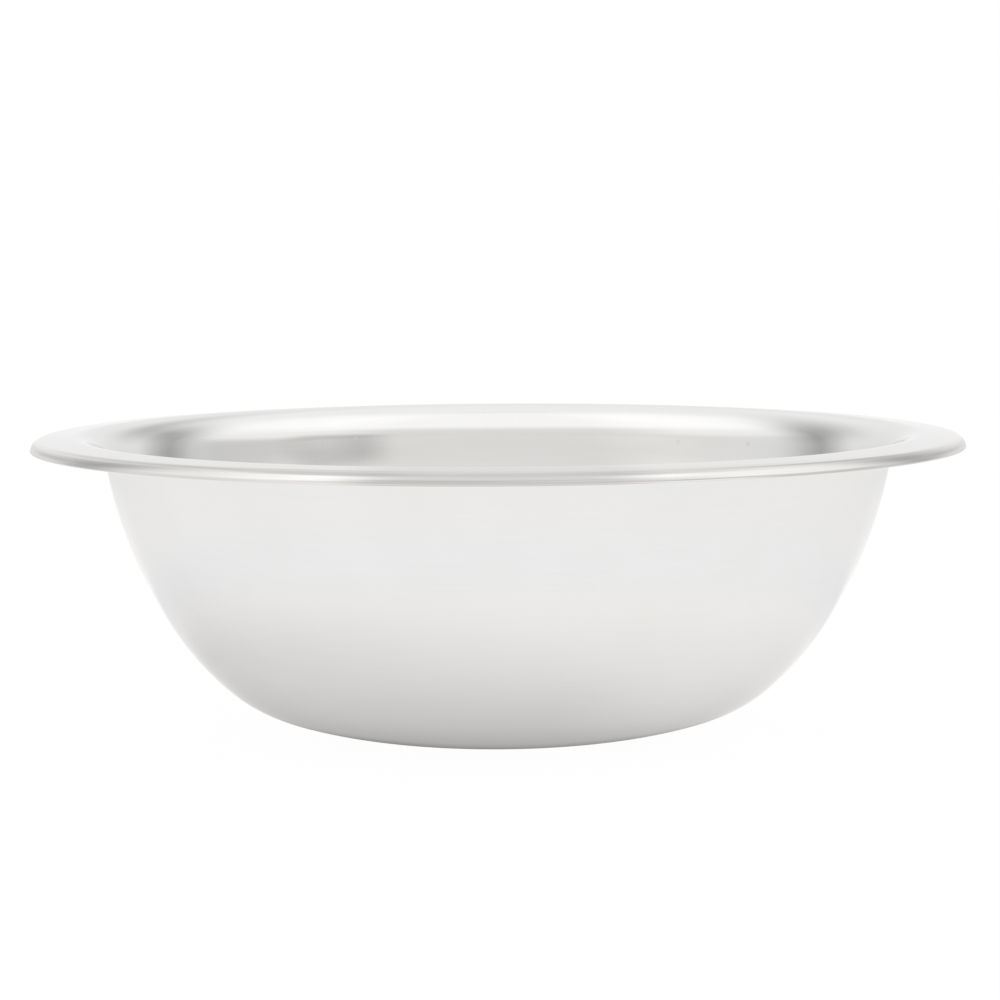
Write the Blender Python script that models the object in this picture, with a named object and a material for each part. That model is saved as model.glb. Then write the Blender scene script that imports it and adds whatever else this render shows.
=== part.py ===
"""Wide-brimmed mixing bowl, drawn from one round blank of stainless steel sheet.

The wall is a chain of arcs that meet without a corner: a flat base, a shallow sole, a
tighter heel, two wall arcs that steepen towards the mouth, the fillet that lays the sheet
out into the brim, the brim itself, which falls slightly outwards, and the small lip turned
down around its edge. The chain is drawn on the sheet's lower face, which is the outside of
the bowl. The upper face lies one sheet thickness away all along, and the two meet in a cut
edge under the lip.

The origin is the middle of the face the bowl rests on, with +Z up through the mouth.
"""

import math

import bmesh
import bpy

# Overall size, in metres.
RIM_DIAMETER = 0.15875  # outside of the turned-down lip
HEIGHT = 0.0508  # resting face to the crown of the brim
SHEET = 0.00045  # thickness of the blank

# Lower face of the sheet, from the middle outwards. Radii in metres, headings in degrees
# above the horizontal, in the direction of travel.
BASE_FLAT_RADIUS = 0.0189
BODY_ARCS = (  # radius, end heading, steps
    (0.0637, 18.0, 4),  # sole
    (0.0237, 41.5, 4),  # heel
    (0.0497, 57.8, 4),  # lower wall
)
MOUTH_HEADING, MOUTH_STEPS = 79.3, 4  # end of the upper wall, where the fillet starts
FILLET_RADIUS, FILLET_STEPS = 0.0055, 7
BRIM_START_HEADING, BRIM_END_HEADING, BRIM_STEPS = -3.7, -4.4, 2
LIP_RADIUS, LIP_HEADING, LIP_STEPS = 0.0014, -88.0, 5

TURN_STEPS = 80  # facets around the axis
MERGE_DISTANCE = 1e-6  # joins the copies of the points on the axis
DEGENERATE_LENGTH = 1e-7
SHARP_ANGLE = math.radians(40.0)  # steeper edges are shaded sharp

STEEL_COLOUR = (0.66, 0.655, 0.645, 1.0)
STEEL_ROUGHNESS = 0.28


def rise(radius, start_heading, end_heading):
    """Height between the ends of an arc, for headings that keep one sign."""
    start, end = math.radians(start_heading), math.radians(end_heading)
    return radius * abs(math.cos(start) - math.cos(end))


def upper_wall_radius():
    """Radius of the last wall arc, which brings the crown of the brim to HEIGHT."""
    below = 0.0
    heading = 0.0
    for radius, end_heading, _ in BODY_ARCS:
        below += rise(radius, heading, end_heading)
        heading = end_heading
    above = rise(FILLET_RADIUS, MOUTH_HEADING, 0.0) + SHEET
    return (HEIGHT - below - above) / rise(1.0, heading, MOUTH_HEADING)


def brim_arc_radius(start_reach):
    """Radius of the brim arc, which leaves the lip room to end at RIM_DIAMETER."""
    brim_start = math.sin(math.radians(-BRIM_START_HEADING))
    brim_end = math.sin(math.radians(-BRIM_END_HEADING))
    lip_end = math.sin(math.radians(-LIP_HEADING))
    # Past the brim the upper face is the outermost, so the sheet's thickness counts too.
    lip_reach = LIP_RADIUS * (lip_end - brim_end) + SHEET * lip_end
    brim_reach = RIM_DIAMETER / 2.0 - lip_reach - start_reach
    return brim_reach / (brim_end - brim_start)


def arc(start, radius, end_heading, steps):
    """Points after start = (reach, z, heading) on a tangent arc to end_heading."""
    start_reach, start_z, start_heading = start
    start_angle = math.radians(start_heading)
    signed_radius = radius if end_heading > start_heading else -radius
    points = []
    for i in range(1, steps + 1):
        heading = start_heading + (end_heading - start_heading) * i / steps
        angle = math.radians(heading)
        reach = start_reach + signed_radius * (math.sin(angle) - math.sin(start_angle))
        z = start_z - signed_radius * (math.cos(angle) - math.cos(start_angle))
        points.append((reach, z, heading))
    return points


def lower_face_line():
    """(reach from the axis, z, heading) along the lower face, axis to cut edge."""
    line = [(0.0, 0.0, 0.0), (BASE_FLAT_RADIUS, 0.0, 0.0)]
    for radius, end_heading, steps in BODY_ARCS:
        line += arc(line[-1], radius, end_heading, steps)
    line += arc(line[-1], upper_wall_radius(), MOUTH_HEADING, MOUTH_STEPS)
    line += arc(line[-1], FILLET_RADIUS, BRIM_START_HEADING, FILLET_STEPS)
    line += arc(line[-1], brim_arc_radius(line[-1][0]), BRIM_END_HEADING, BRIM_STEPS)
    line += arc(line[-1], LIP_RADIUS, LIP_HEADING, LIP_STEPS)
    return line


def sheet_section():
    """(reach, z) out along the lower face, then back to the axis along the upper one."""
    lower = []
    upper = []
    for reach, z, heading in lower_face_line():
        angle = math.radians(heading)
        lower.append((reach, z))
        upper.append((reach - SHEET * math.sin(angle), z + SHEET * math.cos(angle)))
    return lower + upper[::-1]


def satin_steel():
    """Satin stainless steel."""
    material = bpy.data.materials.new("satin_steel")
    material.use_nodes = True
    shader = material.node_tree.nodes["Principled BSDF"]
    shader.inputs["Base Color"].default_value = STEEL_COLOUR
    shader.inputs["Metallic"].default_value = 1.0
    shader.inputs["Roughness"].default_value = STEEL_ROUGHNESS
    material.diffuse_color = STEEL_COLOUR
    return material


def turn(name, section, material):
    """Solid of revolution about +Z from a section that starts and ends on the axis."""
    bm = bmesh.new()
    verts = [bm.verts.new((reach, 0.0, z)) for reach, z in section]
    edges = [bm.edges.new(pair) for pair in zip(verts, verts[1:])]
    bmesh.ops.spin(
        bm,
        geom=verts + edges,
        cent=(0.0, 0.0, 0.0),
        axis=(0.0, 0.0, 1.0),
        angle=2.0 * math.pi,
        steps=TURN_STEPS,
        use_merge=True,
    )
    bmesh.ops.remove_doubles(bm, verts=bm.verts[:], dist=MERGE_DISTANCE)
    bmesh.ops.dissolve_degenerate(bm, edges=bm.edges[:], dist=DEGENERATE_LENGTH)
    bmesh.ops.recalc_face_normals(bm, faces=bm.faces[:])

    mesh = bpy.data.meshes.new(name)
    bm.to_mesh(mesh)
    bm.free()
    mesh.shade_smooth()
    mesh.set_sharp_from_angle(angle=SHARP_ANGLE)
    mesh.materials.append(material)
    bpy.context.scene.collection.objects.link(bpy.data.objects.new(name, mesh))


def build():
    for obj in list(bpy.data.objects):
        bpy.data.objects.remove(obj, do_unlink=True)
    turn("bowl", sheet_section(), satin_steel())


build()
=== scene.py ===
"""A mixing bowl of satin stainless steel, in a white studio with soft light.

The bowl stands on z = 0 with its axis on +Z. The camera looks along +Y, so the front
is -Y, the back +Y and the right +X. Lengths are metres and angles degrees unless a
comment says otherwise.
"""

import math
from functools import reduce
from types import SimpleNamespace

import bpy
import numpy as np
from mathutils import Matrix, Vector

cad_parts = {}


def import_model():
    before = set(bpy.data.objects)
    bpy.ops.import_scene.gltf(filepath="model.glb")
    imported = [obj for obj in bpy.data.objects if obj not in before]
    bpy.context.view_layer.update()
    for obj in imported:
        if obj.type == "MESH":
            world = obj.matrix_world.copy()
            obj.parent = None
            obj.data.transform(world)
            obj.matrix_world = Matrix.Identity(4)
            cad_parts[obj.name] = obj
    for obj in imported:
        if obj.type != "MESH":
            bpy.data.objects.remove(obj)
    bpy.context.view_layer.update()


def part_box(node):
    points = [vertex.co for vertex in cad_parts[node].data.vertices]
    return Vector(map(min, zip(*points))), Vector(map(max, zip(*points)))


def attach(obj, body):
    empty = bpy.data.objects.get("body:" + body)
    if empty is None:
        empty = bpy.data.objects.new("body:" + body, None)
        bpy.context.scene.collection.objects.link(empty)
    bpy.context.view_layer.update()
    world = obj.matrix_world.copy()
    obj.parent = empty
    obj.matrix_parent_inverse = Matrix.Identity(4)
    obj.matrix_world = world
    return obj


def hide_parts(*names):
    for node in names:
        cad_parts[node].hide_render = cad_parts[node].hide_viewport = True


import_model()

BOWL_LOW, BOWL_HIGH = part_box("bowl")

# ---------------------------------------------------------------- the sheet's section
# The outside of the sheet is a chain of tangent arcs from the base to the cut edge,
# fitted to the CAD box. A heading is the slope of the line: 0 outward, 90 straight up.
RIM_RADIUS = (BOWL_HIGH.x - BOWL_LOW.x) / 2.0
HEIGHT = BOWL_HIGH.z - BOWL_LOW.z
SHEET = 0.00045
BASE_FLAT_RADIUS = 0.01905
# (radius, heading at the end)
SOLE = (0.0637, 18.0)
HEEL = (0.0237, 41.5)
WALL = (0.0497, 57.8)
EASE = (0.013, 70.5)  # where the wall begins to open, before the fillet
LIP = (0.0014, -88.0)
MOUTH_HEADING = 79.3
FILLET_RADIUS = 0.00535
BRIM_START, BRIM_END = -3.7, -4.4
EDGE_ROUND = 0.00006  # corner radius on the cut edge

BASE_STEPS = 5
BRIM_STEPS = 6
LIP_STEPS = 16
CORNER_STEPS = 4
TURNS = 400  # facets round the axis
TOP_POLE_STEP = 0.0036  # from the innermost ring to the upper pole, in the UV map


def arc(start, radius, end_heading, steps):
    """(r, z, heading) along a tangent arc, in equal steps of heading."""
    start_r, start_z, start_heading = start
    start_angle = math.radians(start_heading)
    side = 1.0 if end_heading > start_heading else -1.0
    points = []
    for i in range(1, steps + 1):
        heading = start_heading + (end_heading - start_heading) * i / steps
        angle = math.radians(heading)
        r = start_r + side * radius * (math.sin(angle) - math.sin(start_angle))
        z = start_z - side * radius * (math.cos(angle) - math.cos(start_angle))
        points.append((r, z, heading))
    return points


def rise(radius, start, end):
    """Height gained along an arc between two headings."""
    return radius * abs(math.cos(math.radians(start)) - math.cos(math.radians(end)))


def outside_line():
    """(r, z, heading) from the base to the cut edge."""
    below = rise(SOLE[0], 0, SOLE[1]) + rise(HEEL[0], SOLE[1], HEEL[1])
    below += rise(WALL[0], HEEL[1], WALL[1])
    above = rise(EASE[0], MOUTH_HEADING, EASE[1]) + rise(FILLET_RADIUS, EASE[1], 0) + SHEET
    # The mouth arc takes up the height that is left, the brim the reach that is left.
    mouth_radius = (HEIGHT - below - above) / rise(1.0, WALL[1], MOUTH_HEADING)
    line = [(BASE_FLAT_RADIUS * i / BASE_STEPS, 0.0, 0.0) for i in range(1, BASE_STEPS + 1)]
    for radius, heading, steps in (
        (*SOLE, 14),
        (*HEEL, 14),
        (*WALL, 12),
        (mouth_radius, MOUTH_HEADING, 18),
        (*EASE, 6),
        (FILLET_RADIUS, BRIM_START, 20),
    ):
        line += arc(line[-1], radius, heading, steps)
    start, end, edge = (math.sin(math.radians(-h)) for h in (BRIM_START, BRIM_END, LIP[1]))
    lip_reach = LIP[0] * (edge - end) + SHEET * edge
    brim_reach = RIM_RADIUS - lip_reach - line[-1][0]
    line += arc(line[-1], brim_reach / (end - start), BRIM_END, BRIM_STEPS)
    line += arc(line[-1], *LIP, LIP_STEPS)
    return line


def measured(line, last, along):
    """Adds to each (r, z) its length along the line, counted on from the last point."""
    points = []
    for r, z in line:
        along += math.hypot(r - last[0], z - last[1])
        last = (r, z)
        points.append((r, z, along))
    return points


def cut_edge(end, along):
    """A short land between two rounded corners, from the outside to the inside."""
    r, z, heading = end
    angle = math.radians(heading)
    travel = (math.cos(angle), math.sin(angle))
    inward = (-math.sin(angle), math.cos(angle))
    points = []
    for corner, base in enumerate((0.0, SHEET - EDGE_ROUND * 2.0)):
        for i in range(CORNER_STEPS + 1):
            turn = math.radians(90.0 * i / CORNER_STEPS + 90.0 * corner)
            back = EDGE_ROUND * (1.0 - math.sin(turn))
            across = base + EDGE_ROUND * (1.0 - math.cos(turn))
            points.append(
                (
                    r - travel[0] * back + inward[0] * across,
                    z - travel[1] * back + inward[1] * across,
                    along + across,
                )
            )
    return points


def section():
    """Section as (r, z, length along): outside, rounded cut edge, inside."""
    outside = outside_line()
    points = measured([(r, z) for r, z, _ in outside[:-1]], (0.0, 0.0), 0.0)
    points += cut_edge(outside[-1], points[-1][2])
    inside = []
    for r, z, heading in outside[:-1]:
        angle = math.radians(heading)
        inside.append((max(r - SHEET * math.sin(angle), 0.0), z + SHEET * math.cos(angle)))
    return points + measured(inside[::-1], points[-1], points[-1][2])


def bowl_mesh(name):
    """The sheet as one closed skin with a pole on each face of the base."""
    points = section()
    rows = len(points)
    turn = np.linspace(0.0, 2.0 * math.pi, TURNS, endpoint=False)
    r = np.array([p[0] for p in points])[:, None]
    z = np.array([p[1] for p in points])[:, None]
    v = [p[2] for p in points]
    x = r * np.cos(turn)[None, :]
    y = r * np.sin(turn)[None, :]
    places = np.stack([x, y, z + np.zeros_like(x)], axis=-1).reshape(-1, 3)
    places = np.concatenate([places, [[0.0, 0.0, 0.0]], [[0.0, 0.0, SHEET]]])
    bottom, top = rows * TURNS, rows * TURNS + 1
    end = (rows - 1) * TURNS
    faces, uvs = [], []
    for i in range(rows - 1):
        ring, after = i * TURNS, (i + 1) * TURNS
        for k in range(TURNS):
            m = (k + 1) % TURNS
            faces.append((ring + k, ring + m, after + m, after + k))
            u0, u1 = k / TURNS, (k + 1) / TURNS
            uvs += [(u0, v[i]), (u1, v[i]), (u1, v[i + 1]), (u0, v[i + 1])]
    for k in range(TURNS):
        m = (k + 1) % TURNS
        u0, u1 = k / TURNS, (k + 1) / TURNS
        middle = (u0 + u1) / 2
        faces.append((bottom, m, k))
        uvs += [(middle, 0.0), (u1, v[0]), (u0, v[0])]
        faces.append((end + k, end + m, top))
        uvs += [(u0, v[-1]), (u1, v[-1]), (middle, v[-1] + TOP_POLE_STEP)]
    mesh = bpy.data.meshes.new(name)
    mesh.from_pydata(places.tolist(), [], faces)
    layer = mesh.uv_layers.new(name="turned")
    layer.data.foreach_set("uv", np.array(uvs, np.float32).ravel())
    mesh.update()
    mesh.shade_smooth()
    return mesh


# ---------------------------------------------------------------- node helpers
DEGREES = 180.0 / math.pi  # in a radian
FALL = (1.0, 0.0)  # output of a ramp that falls


class Graph:
    """Writes the node tree of a material or world as expressions."""

    def __init__(self, owner):
        owner.use_nodes = True
        self.tree = owner.node_tree
        self.tree.nodes.clear()

    def make(self, kind, **settings):
        node = self.tree.nodes.new(kind)
        for key, value in settings.items():
            setattr(node, key, value)
        return node

    def put(self, socket, value):
        if isinstance(value, bpy.types.NodeSocket):
            self.tree.links.new(value, socket)
        else:
            socket.default_value = value

    def put_all(self, node, **values):
        """Sets inputs by name, with _ for a space."""
        for key, value in values.items():
            self.put(node.inputs[key.replace("_", " ")], value)

    def math(self, operation, *values):
        node = self.make("ShaderNodeMath", operation=operation)
        for socket, value in zip(node.inputs, values):
            self.put(socket, value)
        return node.outputs[0]

    def add(self, a, b):
        return self.math("ADD", a, b)

    def minus(self, a, b):
        return self.math("SUBTRACT", a, b)

    def times(self, *values):
        return reduce(lambda a, b: self.math("MULTIPLY", a, b), values)

    def scaled(self, value, factor, base):
        """value * factor + base"""
        return self.math("MULTIPLY_ADD", value, factor, base)

    def vary(self, noise, amount, base):
        """The base, moved up and down by a noise that is centred on 0.5."""
        return self.scaled(self.minus(noise, 0.5), amount, base)

    def size(self, value):
        return self.math("ABSOLUTE", value)

    def hypot(self, a, b):
        return self.math("SQRT", self.add(self.times(a, a), self.times(b, b)))

    def ramp(self, value, span, out=(0.0, 1.0)):
        """A smooth step over the span of values, between the two outputs."""
        node = self.make("ShaderNodeMapRange", interpolation_type="SMOOTHSTEP")
        self.put_all(
            node, Value=value, From_Min=span[0], From_Max=span[1], To_Min=out[0], To_Max=out[1]
        )
        return node.outputs[0]

    def above(self, value, edge, soft):
        return self.ramp(value, (edge - soft, edge + soft))

    def below(self, value, edge, soft):
        return self.ramp(value, (edge - soft, edge + soft), FALL)

    def near(self, value, at, half, soft):
        """1 within half a width of a value, with soft ends."""
        return self.below(self.size(self.minus(value, at)), half, soft)

    def sector(self, angle, at, half, soft):
        """The same for an angle in degrees, across the seam too."""
        off = self.size(self.minus(angle, at))
        off = self.math("MINIMUM", off, self.minus(360.0, off))
        return self.below(off, half, soft)

    def mix(self, factor, a, b):
        node = self.make("ShaderNodeMix", data_type="RGBA")
        for index, value in ((0, factor), (6, a), (7, b)):
            self.put(node.inputs[index], value)
        return node.outputs[2]

    def split(self, vector):
        node = self.make("ShaderNodeSeparateXYZ")
        self.put(node.inputs[0], vector)
        return tuple(node.outputs)

    def coordinates(self, kind):
        return self.make("ShaderNodeTexCoord").outputs[kind]

    def noise(self, vector, scale, detail, roughness):
        node = self.make("ShaderNodeTexNoise")
        self.put_all(node, Vector=vector, Scale=scale, Detail=detail, Roughness=roughness)
        return node.outputs["Fac"]


# ---------------------------------------------------------------- steel
STEEL_COOL = (0.672, 0.669, 0.664, 1.0)
STEEL_PALE = (0.682, 0.680, 0.676, 1.0)
STEEL_LIP = (0.693, 0.679, 0.660, 1.0)
STEEL_SPECULAR = (0.86, 0.86, 0.86, 1.0)
RELIEF_UNIT = 0.0000009

# Small marks inside, high on the wall: angle from the back toward the right, height, size.
MARK_RADIUS = 0.0661
MARKS = (
    (-30.5, 0.0446, 0.00042),
    (-24.3, 0.0451, 0.00030),
    (31.3, 0.0443, 0.00040),
    (45.1, 0.0446, 0.00036),
)

# Painted shade on the turned-down lip. Heights are (low, high, softness); spreads are (middle,
# half width, softness) in sines of the angle from the front, positive to the right.
# Each row is heights, spread, darkening.
CROWN_PATCHES = (
    ((0.04995, 0.05050, 0.00006), (-0.35, 0.13, 0.12), 0.17),
    ((0.04986, 0.05020, 0.00006), (0.31, 0.12, 0.10), 0.09),
)
WAIST_FRONT_HEIGHTS = (0.04935, 0.04989, 0.00008)
WAIST_SIDE_HEIGHTS = (0.04935, 0.05000, 0.00008)
WAIST_LEFT = ((0.04910, 0.05020, 0.00010), (-0.61, 0.11, 0.07), 0.08)
TRIMMED_EDGE = ((0.04912, 0.04945, 0.00007), (0.06, 0.34, 0.09))
LIP_ENDS = ((0.04922, 0.04975, 0.00012), (0.915, 0.042, 0.030), 0.20)

# Painted shade along a line near the crest of the lip, at the front.
SHADE_LINE_RADIUS = 0.0764
SHADE_LINE_SHIFT = 0.0013  # further out at the left


def locate(g):
    """Where a point of the bowl lies, as sockets."""
    along = g.split(g.make("ShaderNodeUVMap", uv_map="turned").outputs[0])[1]
    place = g.coordinates("Object")
    x, y, z = g.split(place)
    radius = g.hypot(x, y)
    angle = g.math("ARCTAN2", x, y)
    return SimpleNamespace(
        place=place,
        along=along,
        z=z,
        radius=radius,
        # The direction is a point on a unit circle, so there is no seam.
        circle=(g.math("SINE", angle), g.math("COSINE", angle)),
        # 1 at the front, -1 at the back
        facing=g.math("DIVIDE", g.times(y, -1.0), g.math("MAXIMUM", radius, 0.001)),
        # 1 at the right, -1 at the left
        across=g.math("DIVIDE", x, g.math("MAXIMUM", radius, 0.001)),
        turned=g.ramp(radius, span=(0.0757, 0.0766)),  # the turned-down lip
    )


def polish(g, at):
    """Noises of the satin finish, with the scuffs in it."""

    def ringed(around, along, detail, roughness):
        """Noise drawn out round the axis; the scales are round it and along the sheet."""
        node = g.make("ShaderNodeCombineXYZ")
        parts = (g.times(at.circle[0], around), g.times(at.circle[1], around))
        for socket, value in zip(node.inputs, (*parts, g.times(at.along, along))):
            g.put(socket, value)
        return g.noise(node.outputs[0], scale=1.0, detail=detail, roughness=roughness)

    # Hair-thin lines from polishing while the bowl turned, and broader bands.
    lines = ringed(around=1.6, along=5200.0, detail=3.0, roughness=0.62)
    bands = ringed(around=5.0, along=1500.0, detail=2.0, roughness=0.55)
    # Wide, soft clouds of wear, and finer ones.
    clouds = g.noise(at.place, scale=46.0, detail=4.0, roughness=0.6)
    wear = g.noise(at.place, scale=170.0, detail=3.0, roughness=0.6)
    # Scuffs: thin contour lines of a stretched noise, only in worn places.
    trail = ringed(around=3.2, along=190.0, detail=2.0, roughness=0.5)
    contour = g.ramp(g.size(g.minus(trail, 0.5)), span=(0.0, 0.0022), out=FALL)
    scuff = g.times(contour, g.ramp(clouds, span=(0.52, 0.62)))
    return SimpleNamespace(lines=lines, bands=bands, clouds=clouds, wear=wear, scuff=scuff)


def specks(g, at, wear):
    """Tiny pits and dust, and the marks inside, but none on the lip."""
    dots = g.make("ShaderNodeTexVoronoi", feature="F1")
    g.put_all(dots, Vector=at.place, Scale=420.0)
    chosen = g.make("ShaderNodeSeparateColor")
    g.put(chosen.inputs[0], dots.outputs["Color"])
    speck = g.times(
        g.ramp(dots.outputs["Distance"], span=(0.05, 0.11), out=FALL),
        g.math("GREATER_THAN", chosen.outputs[0], 0.988),  # few cells have a speck
    )
    for degrees, height, size in MARKS:
        angle = math.radians(degrees)
        off = g.make("ShaderNodeVectorMath", operation="DISTANCE")
        g.put(off.inputs[0], at.place)
        centre = (MARK_RADIUS * math.sin(angle), MARK_RADIUS * math.cos(angle), height)
        g.put(off.inputs[1], centre)
        ragged = g.vary(wear, amount=0.0006, base=off.outputs["Value"])
        mark = g.ramp(ragged, span=(size * 0.2, size * 2.0), out=(0.7, 0.0))
        speck = g.math("MAXIMUM", speck, mark)
    return g.times(speck, g.minus(1.0, at.turned))


def lip_painted_shade(g, at):
    """Painted shade on the turned-down lip, mostly at the front."""

    def zone(low, high, soft):
        """A ring of the lip between two heights."""
        return g.times(g.above(at.z, low, soft), g.below(at.z, high, soft))

    def patch(heights, spread, value=at.across):
        return g.times(zone(*heights), g.near(value, *spread))

    def in_front(value):
        return g.times(value, g.math("GREATER_THAN", at.facing, 0.0))

    # Painted shade on the crown of the lip, all along the front, most just left of the middle.
    crown = g.times(
        g.ramp(at.z, span=(0.04982, 0.04996)),
        g.ramp(at.facing, span=(0.5, 0.95), out=(0.0, 0.115)),
    )
    for heights, spread, darkening in CROWN_PATCHES:
        crown = g.scaled(patch(heights, spread), darkening, crown)

    # Painted shade on its middle height, most right at the front, a little elsewhere.
    waist = g.times(
        zone(*WAIST_FRONT_HEIGHTS), g.ramp(at.facing, span=(0.965, 0.988), out=(0.0, 0.11))
    )
    aside = g.size(g.minus(at.across, -0.02))
    sides = g.times(zone(*WAIST_SIDE_HEIGHTS), g.ramp(aside, span=(0.31, 0.42)))
    waist = g.scaled(sides, 0.085, waist)
    heights, spread, darkening = WAIST_LEFT
    waist = g.scaled(in_front(patch(heights, spread)), darkening, waist)

    # Painted shade on the trimmed edge under it, darker left of the middle.
    edge = in_front(patch(*TRIMMED_EDGE))
    edge = g.times(edge, g.ramp(at.across, span=(-0.08, 0.16), out=(0.24, 0.13)))

    # Painted shade at the two ends.
    heights, spread, darkening = LIP_ENDS
    ends = in_front(patch(heights, spread, g.size(at.across)))
    lip = g.add(g.math("MAXIMUM", crown, waist), edge)
    return g.times(g.scaled(ends, darkening, lip), at.turned)


def painted_shade_line(g, at):
    """Painted shade: a dark line round the front of the rim, further out and deeper at the
    left.
    """
    shift = g.ramp(at.across, span=(-0.52, -0.35), out=(SHADE_LINE_SHIFT, 0.0))
    off = g.size(g.minus(at.radius, g.add(SHADE_LINE_RADIUS, shift)))
    depth = g.add(
        g.ramp(at.across, span=(-0.25, 0.05), out=(0.20, 0.0)),
        g.ramp(at.across, span=(-0.62, -0.45), out=(0.16, 0.0)),
    )
    return g.times(
        g.ramp(off, span=(0.0003, 0.0008), out=FALL),
        g.ramp(at.facing, span=(0.3, 0.6)),
        g.ramp(at.z, span=(0.0494, 0.0498)),
        depth,
    )


def steel_colour(g, at, finish, speck):
    # Painted shade on the outer part of the rim, at the very front only.
    brim = g.times(
        g.ramp(at.radius, span=(0.0706, 0.0716)), g.ramp(at.facing, span=(0.945, 0.98))
    )
    tint = g.mix(g.ramp(finish.clouds, span=(0.3, 0.7)), STEEL_COOL, STEEL_PALE)
    tint = g.mix(g.times(at.turned, 0.6), tint, STEEL_LIP)
    shade = g.times(
        g.vary(finish.bands, amount=0.02, base=1.0),
        g.vary(finish.lines, amount=0.03, base=1.0),
        g.scaled(speck, factor=-0.12, base=1.0),
        g.scaled(finish.scuff, factor=-0.012, base=1.0),
        g.minus(1.0, lip_painted_shade(g, at)),
        g.scaled(brim, factor=-0.20, base=1.0),
        g.minus(1.0, painted_shade_line(g, at)),
    )
    tone = g.make("ShaderNodeVectorMath", operation="SCALE")
    g.put(tone.inputs[0], tint)
    g.put(tone.inputs["Scale"], shade)
    return tone.outputs[0]


def steel_roughness(g, at, finish, speck):
    rough = g.vary(finish.clouds, amount=0.03, base=0.060)
    rough = g.vary(finish.lines, amount=0.03, base=rough)
    rough = g.vary(finish.wear, amount=0.02, base=rough)
    rough = g.scaled(finish.scuff, factor=0.03, base=rough)
    rough = g.scaled(speck, factor=0.2, base=rough)
    # The lip is rougher toward its left and right ends, below the crown.
    tips = g.times(
        g.ramp(at.z, span=(0.0500, 0.0502), out=FALL),
        g.ramp(g.size(at.across), span=(0.62, 0.86)),
        g.times(at.turned, g.ramp(at.facing, span=(0.05, 0.2))),
    )
    rough = g.scaled(tips, factor=0.13, base=rough)
    return g.math("MAXIMUM", rough, 0.04)


def steel_relief(g, finish, speck):
    relief = g.times(finish.lines, 0.55)
    # height of each part, in relief units
    for part, height in (
        (finish.bands, 0.6),
        (finish.wear, 0.5),
        (speck, -2.0),
        (finish.scuff, -0.5),
    ):
        relief = g.scaled(part, height, relief)
    bump = g.make("ShaderNodeBump")
    g.put_all(bump, Strength=1.0, Distance=RELIEF_UNIT, Height=relief)
    return bump.outputs[0]


def steel_material():
    """Satin-polished stainless: fine lines round the axis, faint scuffs and specks, and
    painted shade on the lip and the front of the rim.
    """
    mat = bpy.data.materials.new("satin_steel")
    g = Graph(mat)
    out = g.make("ShaderNodeOutputMaterial")
    bsdf = g.make("ShaderNodeBsdfPrincipled")
    g.put(out.inputs["Surface"], bsdf.outputs[0])
    at = locate(g)
    finish = polish(g, at)
    speck = specks(g, at, finish.wear)
    g.put_all(
        bsdf,
        Base_Color=steel_colour(g, at, finish, speck),
        Roughness=steel_roughness(g, at, finish, speck),
        Metallic=1.0,
        Specular_Tint=STEEL_SPECULAR,
        Normal=steel_relief(g, finish, speck),
    )
    return mat


# ---------------------------------------------------------------- studio
# Patches of the tent, added to its level: strength, (azimuth, half width, softness),
# (low, high) elevation, softness of the low and high ends.
# Azimuth is 0 behind the bowl, positive to the right.
TENT = (
    # the lit ceiling, all round but for the backdrop
    (0.095, (180, 71, 29), (28.6, 140), (1.6, 1.6)),
    # side soft boxes
    (0.165, (94, 34, 26), (34, 76), (13, 13)),
    (0.18, (-92, 36, 28), (31, 77), (11, 11)),
    # the camera end of the room, below the ceiling
    (-0.195, (180, 50, 20), (15.5, 31.5), (4.0, 4.5)),
    (0.11, (180, 60, 20), (-100, 15.5), (4.0, 4.0)),
    # side walls below the boxes
    (-0.045, (-122, 14, 10), (9, 20.5), (3, 3)),
    (-0.124, (-91.5, 28, 18), (-100, 19.5), (2.2, 2.2)),
    (-0.29, (94, 20, 8), (-100, 18.5), (3.5, 3.5)),
    (-0.36, (126, 15, 8), (14.5, 22.0), (3, 3)),
    (0.02, (130, 15, 8), (-100, 14.5), (3, 3)),
    # gaps between the backdrop and the soft boxes, and the boxes' dark frames
    (-0.576, (57, 11, 13.5), (2.0, 36), (3.5, 16)),
    (-0.553, (-60, 9, 14), (2.0, 29), (3.5, 16.5)),
    (-0.515, (31, 21, 12), (21, 39.5), (11.5, 11.5)),
    (-0.559, (-48, 19, 25), (19.5, 44.5), (12, 12)),
    # the top of the tent
    (-0.03, (0, 300, 20), (84, 140), (3, 3)),
)
WARM_PATCH = ((175, 92, 12), (-100, 30), (3, 3))
TENT_WHITE = (1.0, 1.0, 1.0, 1.0)
TENT_WARM = (1.008, 1.0, 0.984, 1.0)


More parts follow.
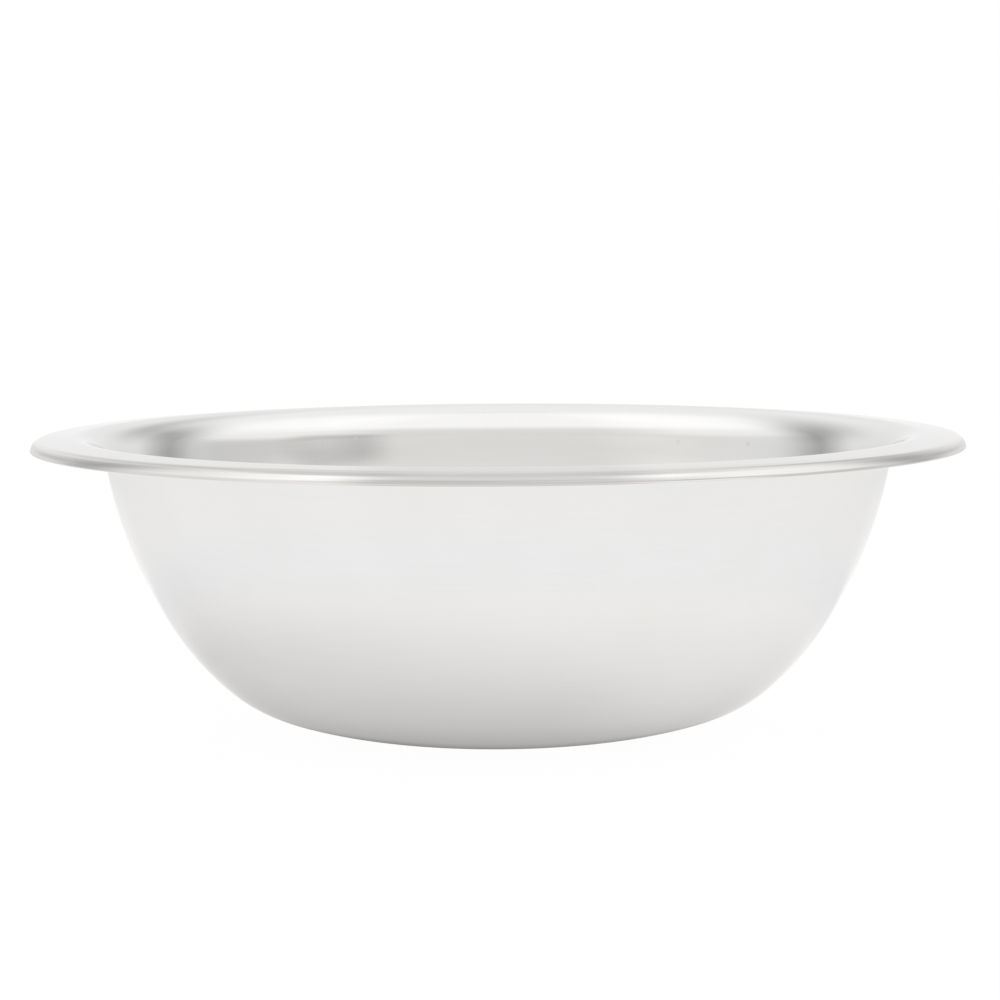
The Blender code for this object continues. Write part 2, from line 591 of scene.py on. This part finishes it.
def world():
    """A white tent: bright ceiling and soft boxes at both sides, dark gaps behind them."""
    studio = bpy.data.worlds.new("studio")
    bpy.context.scene.world = studio
    g = Graph(studio)
    out = g.make("ShaderNodeOutputWorld")
    x, y, z = g.split(g.coordinates("Generated"))
    elevation = g.times(g.math("ARCSINE", z), DEGREES)
    azimuth = g.times(g.math("ARCTAN2", x, y), DEGREES)

    def patch(sector, heights, softness):
        return g.times(
            g.sector(azimuth, *sector),
            g.above(elevation, heights[0], softness[0]),
            g.below(elevation, heights[1], softness[1]),
        )

    level = g.ramp(elevation, span=(-10.0, 33.0), out=(1.022, 1.25))
    for strength, *shape in TENT:
        level = g.scaled(patch(*shape), strength, level)
    level = g.math("MAXIMUM", level, 0.1)
    # The camera itself sees plain white.
    seen = g.make("ShaderNodeLightPath").outputs["Is Camera Ray"]
    strength = g.add(g.times(level, g.minus(1.0, seen)), g.times(seen, 1.0))
    background = g.make("ShaderNodeBackground")
    warm = g.times(patch(*WARM_PATCH), g.minus(1.0, seen))
    g.put_all(background, Color=g.mix(warm, TENT_WHITE, TENT_WARM), Strength=strength)
    g.put(out.inputs["Surface"], background.outputs[0])
    studio.cycles.sampling_method = "MANUAL"
    studio.cycles.sample_map_resolution = 512


FLOOR_HALF = 6.0
FLOOR_Z = -0.0002
# Lighter and dimmer sectors of the floor, with distances in rim radii: (angle from the
# front toward the right, half width, softness), distances over which the sector fades
# in, distances over which its light changes, light at those two.
FLOOR_SECTORS = (
    ((-115, 48, 30), (0.5, 0.9), (1.15, 1.7), (-0.060, -0.0)),
    ((-85, 60, 30), (0.65, 0.85), (0.85, 1.3), (-0.065, -0.0)),
    ((-65, 45, 25), (0.38, 0.56), (0.55, 0.75), (0.035, 0.0)),
    ((62, 34, 20), (0.38, 0.56), (0.6, 0.93), (0.100, 0.0)),
    ((132, 22, 22), (0.5, 0.9), (1.2, 1.7), (-0.050, -0.005)),
    ((180, 58, 12), (0.5, 0.9), (1.3, 1.8), (-0.100, 0.0)),
    ((180, 35, 10), (0.5, 0.9), (2.4, 4.0), (-0.120, -0.060)),
)
# Tint under the bowl, then the distances over which it turns to the next tint.
FLOOR_TINT = (1.008, 1.0, 0.988, 1.0)
FLOOR_TINTS = (
    ((1.0, 1.17), (0.997, 1.0, 1.004, 1.0)),
    ((1.45, 1.85), (1.005, 1.0, 0.993, 1.0)),
    ((2.4, 4.0), (1.0, 1.0, 0.999, 1.0)),
)


def floor_glow(g):
    """What the bowl sees: an even glow, shadowed under the bowl and dimmer in places."""
    x, y, _ = g.split(g.coordinates("Object"))
    x = g.math("DIVIDE", x, RIM_RADIUS)
    y = g.math("DIVIDE", y, RIM_RADIUS)

    def distance(x0, y0):
        return g.hypot(g.minus(x, x0), g.minus(y, y0))

    far = distance(0.0, 0.0)
    turn = g.times(g.math("ARCTAN2", x, g.times(y, -1.0)), DEGREES)

    light = g.ramp(far, span=(2.4, 6.0), out=(1.217, 1.03))
    # The soft contact shadow falls a little to the left and front.
    shadow = g.ramp(distance(-0.035, -0.03), span=(-0.45, 1.05), out=(1.5, 0.0))
    light = g.minus(light, shadow)
    for sector, fade, span, levels in FLOOR_SECTORS:
        side = g.times(g.sector(turn, *sector), g.ramp(far, fade))
        light = g.scaled(side, g.ramp(far, span, levels), light)
    # It is deepest in a narrow band where the bowl leaves the floor, wider to the back.
    around = g.math("MAXIMUM", g.minus(g.size(turn), 15.0), 0.0)
    band = g.scaled(around, factor=-0.0013, base=far)
    light = g.add(light, g.ramp(band, span=(0.33, 0.44), out=(-0.17, 0.0)))

    tint = FLOOR_TINT
    for span, colour in FLOOR_TINTS:
        tint = g.mix(g.ramp(far, span), tint, colour)
    glow = g.make("ShaderNodeEmission")
    g.put_all(glow, Color=tint, Strength=g.math("MAXIMUM", light, 0.02))
    return glow.outputs[0]


def floor_white(g):
    """What the camera sees: nearly burnt out, with a faint shadow."""
    white = g.make("ShaderNodeBsdfDiffuse")
    g.put_all(white, Color=(0.97, 0.97, 0.97, 1.0))
    glow = g.make("ShaderNodeEmission")
    g.put_all(glow, Strength=1.0)
    return mix_shader(g, 0.02, glow.outputs[0], white.outputs[0])


def mix_shader(g, *values):
    node = g.make("ShaderNodeMixShader")
    for socket, value in zip(node.inputs, values):
        g.put(socket, value)
    return node.outputs[0]


def floor():
    """A pale floor that glows on the bowl and looks white to the camera."""
    mesh = bpy.data.meshes.new("floor")
    corners = ((-1, -1), (1, -1), (1, 1), (-1, 1))
    places = [(x * FLOOR_HALF, y * FLOOR_HALF, FLOOR_Z) for x, y in corners]
    mesh.from_pydata(places, [], [(0, 1, 2, 3)])
    obj = bpy.data.objects.new("floor", mesh)
    bpy.context.scene.collection.objects.link(obj)
    mat = bpy.data.materials.new("floor_white")
    g = Graph(mat)
    out = g.make("ShaderNodeOutputMaterial")
    glow, white = floor_glow(g), floor_white(g)
    seen = g.make("ShaderNodeLightPath").outputs["Is Camera Ray"]
    g.put(out.inputs["Surface"], mix_shader(g, seen, glow, white))
    mesh.materials.append(mat)


CAMERA_PLACE = (0.0, -0.5159375, 0.089291954)
CAMERA_PITCH, CAMERA_ROLL = 0.097344, -0.005629  # radians, the pitch downward
SENSOR_WIDTH = 36.0  # millimetres
FOCAL_RATIO = 3.01624  # lens to sensor width


def camera():
    data = bpy.data.cameras.new("camera")
    obj = bpy.data.objects.new("camera", data)
    bpy.context.scene.collection.objects.link(obj)
    data.sensor_width = SENSOR_WIDTH
    data.lens = SENSOR_WIDTH * FOCAL_RATIO
    data.shift_x = 0.001721
    data.clip_start, data.clip_end = 0.01, 50.0
    look = Matrix.Rotation(math.pi / 2.0 - CAMERA_PITCH, 4, "X")
    roll = Matrix.Rotation(CAMERA_ROLL, 4, "Z")
    obj.matrix_world = Matrix.Translation(CAMERA_PLACE) @ look @ roll
    bpy.context.scene.camera = obj


# ---------------------------------------------------------------- the piece
bowl = bpy.data.objects.new("bowl_sheet", bowl_mesh("bowl_sheet"))
bpy.context.scene.collection.objects.link(bowl)
bowl.data.materials.append(steel_material())
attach(bowl, "root")
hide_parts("bowl")

world()
floor()
camera()
bpy.context.scene.view_settings.view_transform = "Standard"
